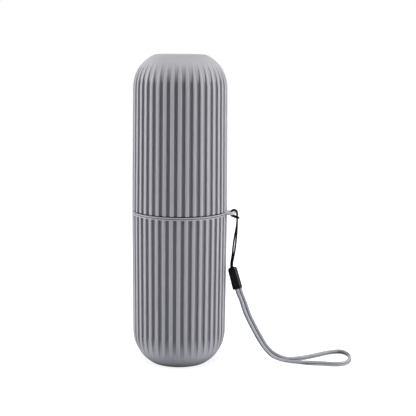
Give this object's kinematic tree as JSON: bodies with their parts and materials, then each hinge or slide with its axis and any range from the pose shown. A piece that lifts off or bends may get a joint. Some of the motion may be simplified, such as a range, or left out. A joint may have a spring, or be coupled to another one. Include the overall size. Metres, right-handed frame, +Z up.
{
  "type": "toothbrush travel case",
  "caption": "Upright capsule toothbrush travel case: fluted plastic cups that pull apart at the middle, with a knitted wrist strap on a cord and clip, hung from a lug at the parting line.",
  "frame": {"origin": "middle of the flat base that the case stands on", "axes": "+Z up along the case's axis from its base to its top, +X out through the lanyard lug"},
  "size_m": [0.1457, 0.0671, 0.205],
  "materials": {
    "case_plastic": "satin",
    "clip_plastic": "satin",
    "cord_braid": "matt braid",
    "strap_knit": "matt knit"
  },
  "bodies": {
    "lower_half": {"lower_cup": "case_plastic"},
    "upper_half": {"upper_cup": "case_plastic"},
    "lanyard": {"lanyard_cord": "cord_braid", "lanyard_clip": "clip_plastic", "wrist_strap": "strap_knit"}
  },
  "joints": [
    {"name": "cup_pull", "type": "slide", "parent": "lower_half", "child": "upper_half", "axis": [0, 0, 1], "range_m": [0, 0.035]},
    {"name": "lanyard_swing", "type": "hinge", "parent": "lower_half", "child": "lanyard", "pos_m": [0.0366, 0, 0.10175], "axis": [0, -1, 0], "range_deg": [0, 110]}
  ]
}
